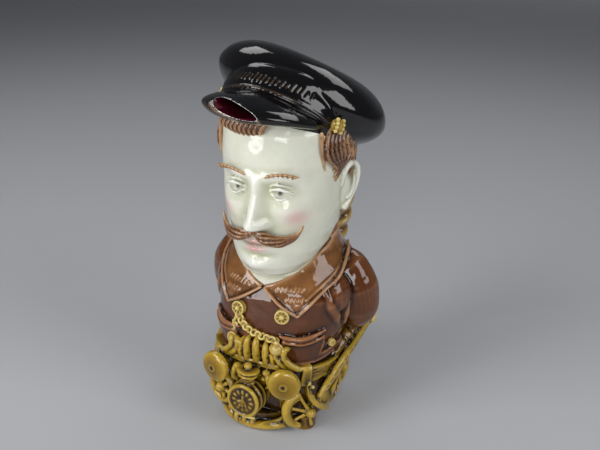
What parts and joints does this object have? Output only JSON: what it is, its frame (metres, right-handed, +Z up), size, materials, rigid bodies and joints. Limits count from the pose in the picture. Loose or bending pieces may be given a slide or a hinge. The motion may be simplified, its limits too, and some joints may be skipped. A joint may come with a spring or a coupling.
{
  "type": "figural pitcher",
  "caption": "Hollow glazed pitcher shaped as a railwayman's bust on a locomotive front, filled through the cap's crown and poured from a slot in its peak.",
  "frame": {"origin": "middle of the flat underside, where the pitcher rests", "axes": "+Z up; the figure looks along -Y; the handle is at +Y; the figure's left is +X"},
  "size_m": [0.1434, 0.2012, 0.29],
  "materials": {
    "glazed_earthenware": "glossy majolica glazes over earthenware: black cap, pale skin, brown coat, ochre base"
  },
  "bodies": {
    "root": {"pitcher": "glazed_earthenware"}
  },
  "joints": []
}
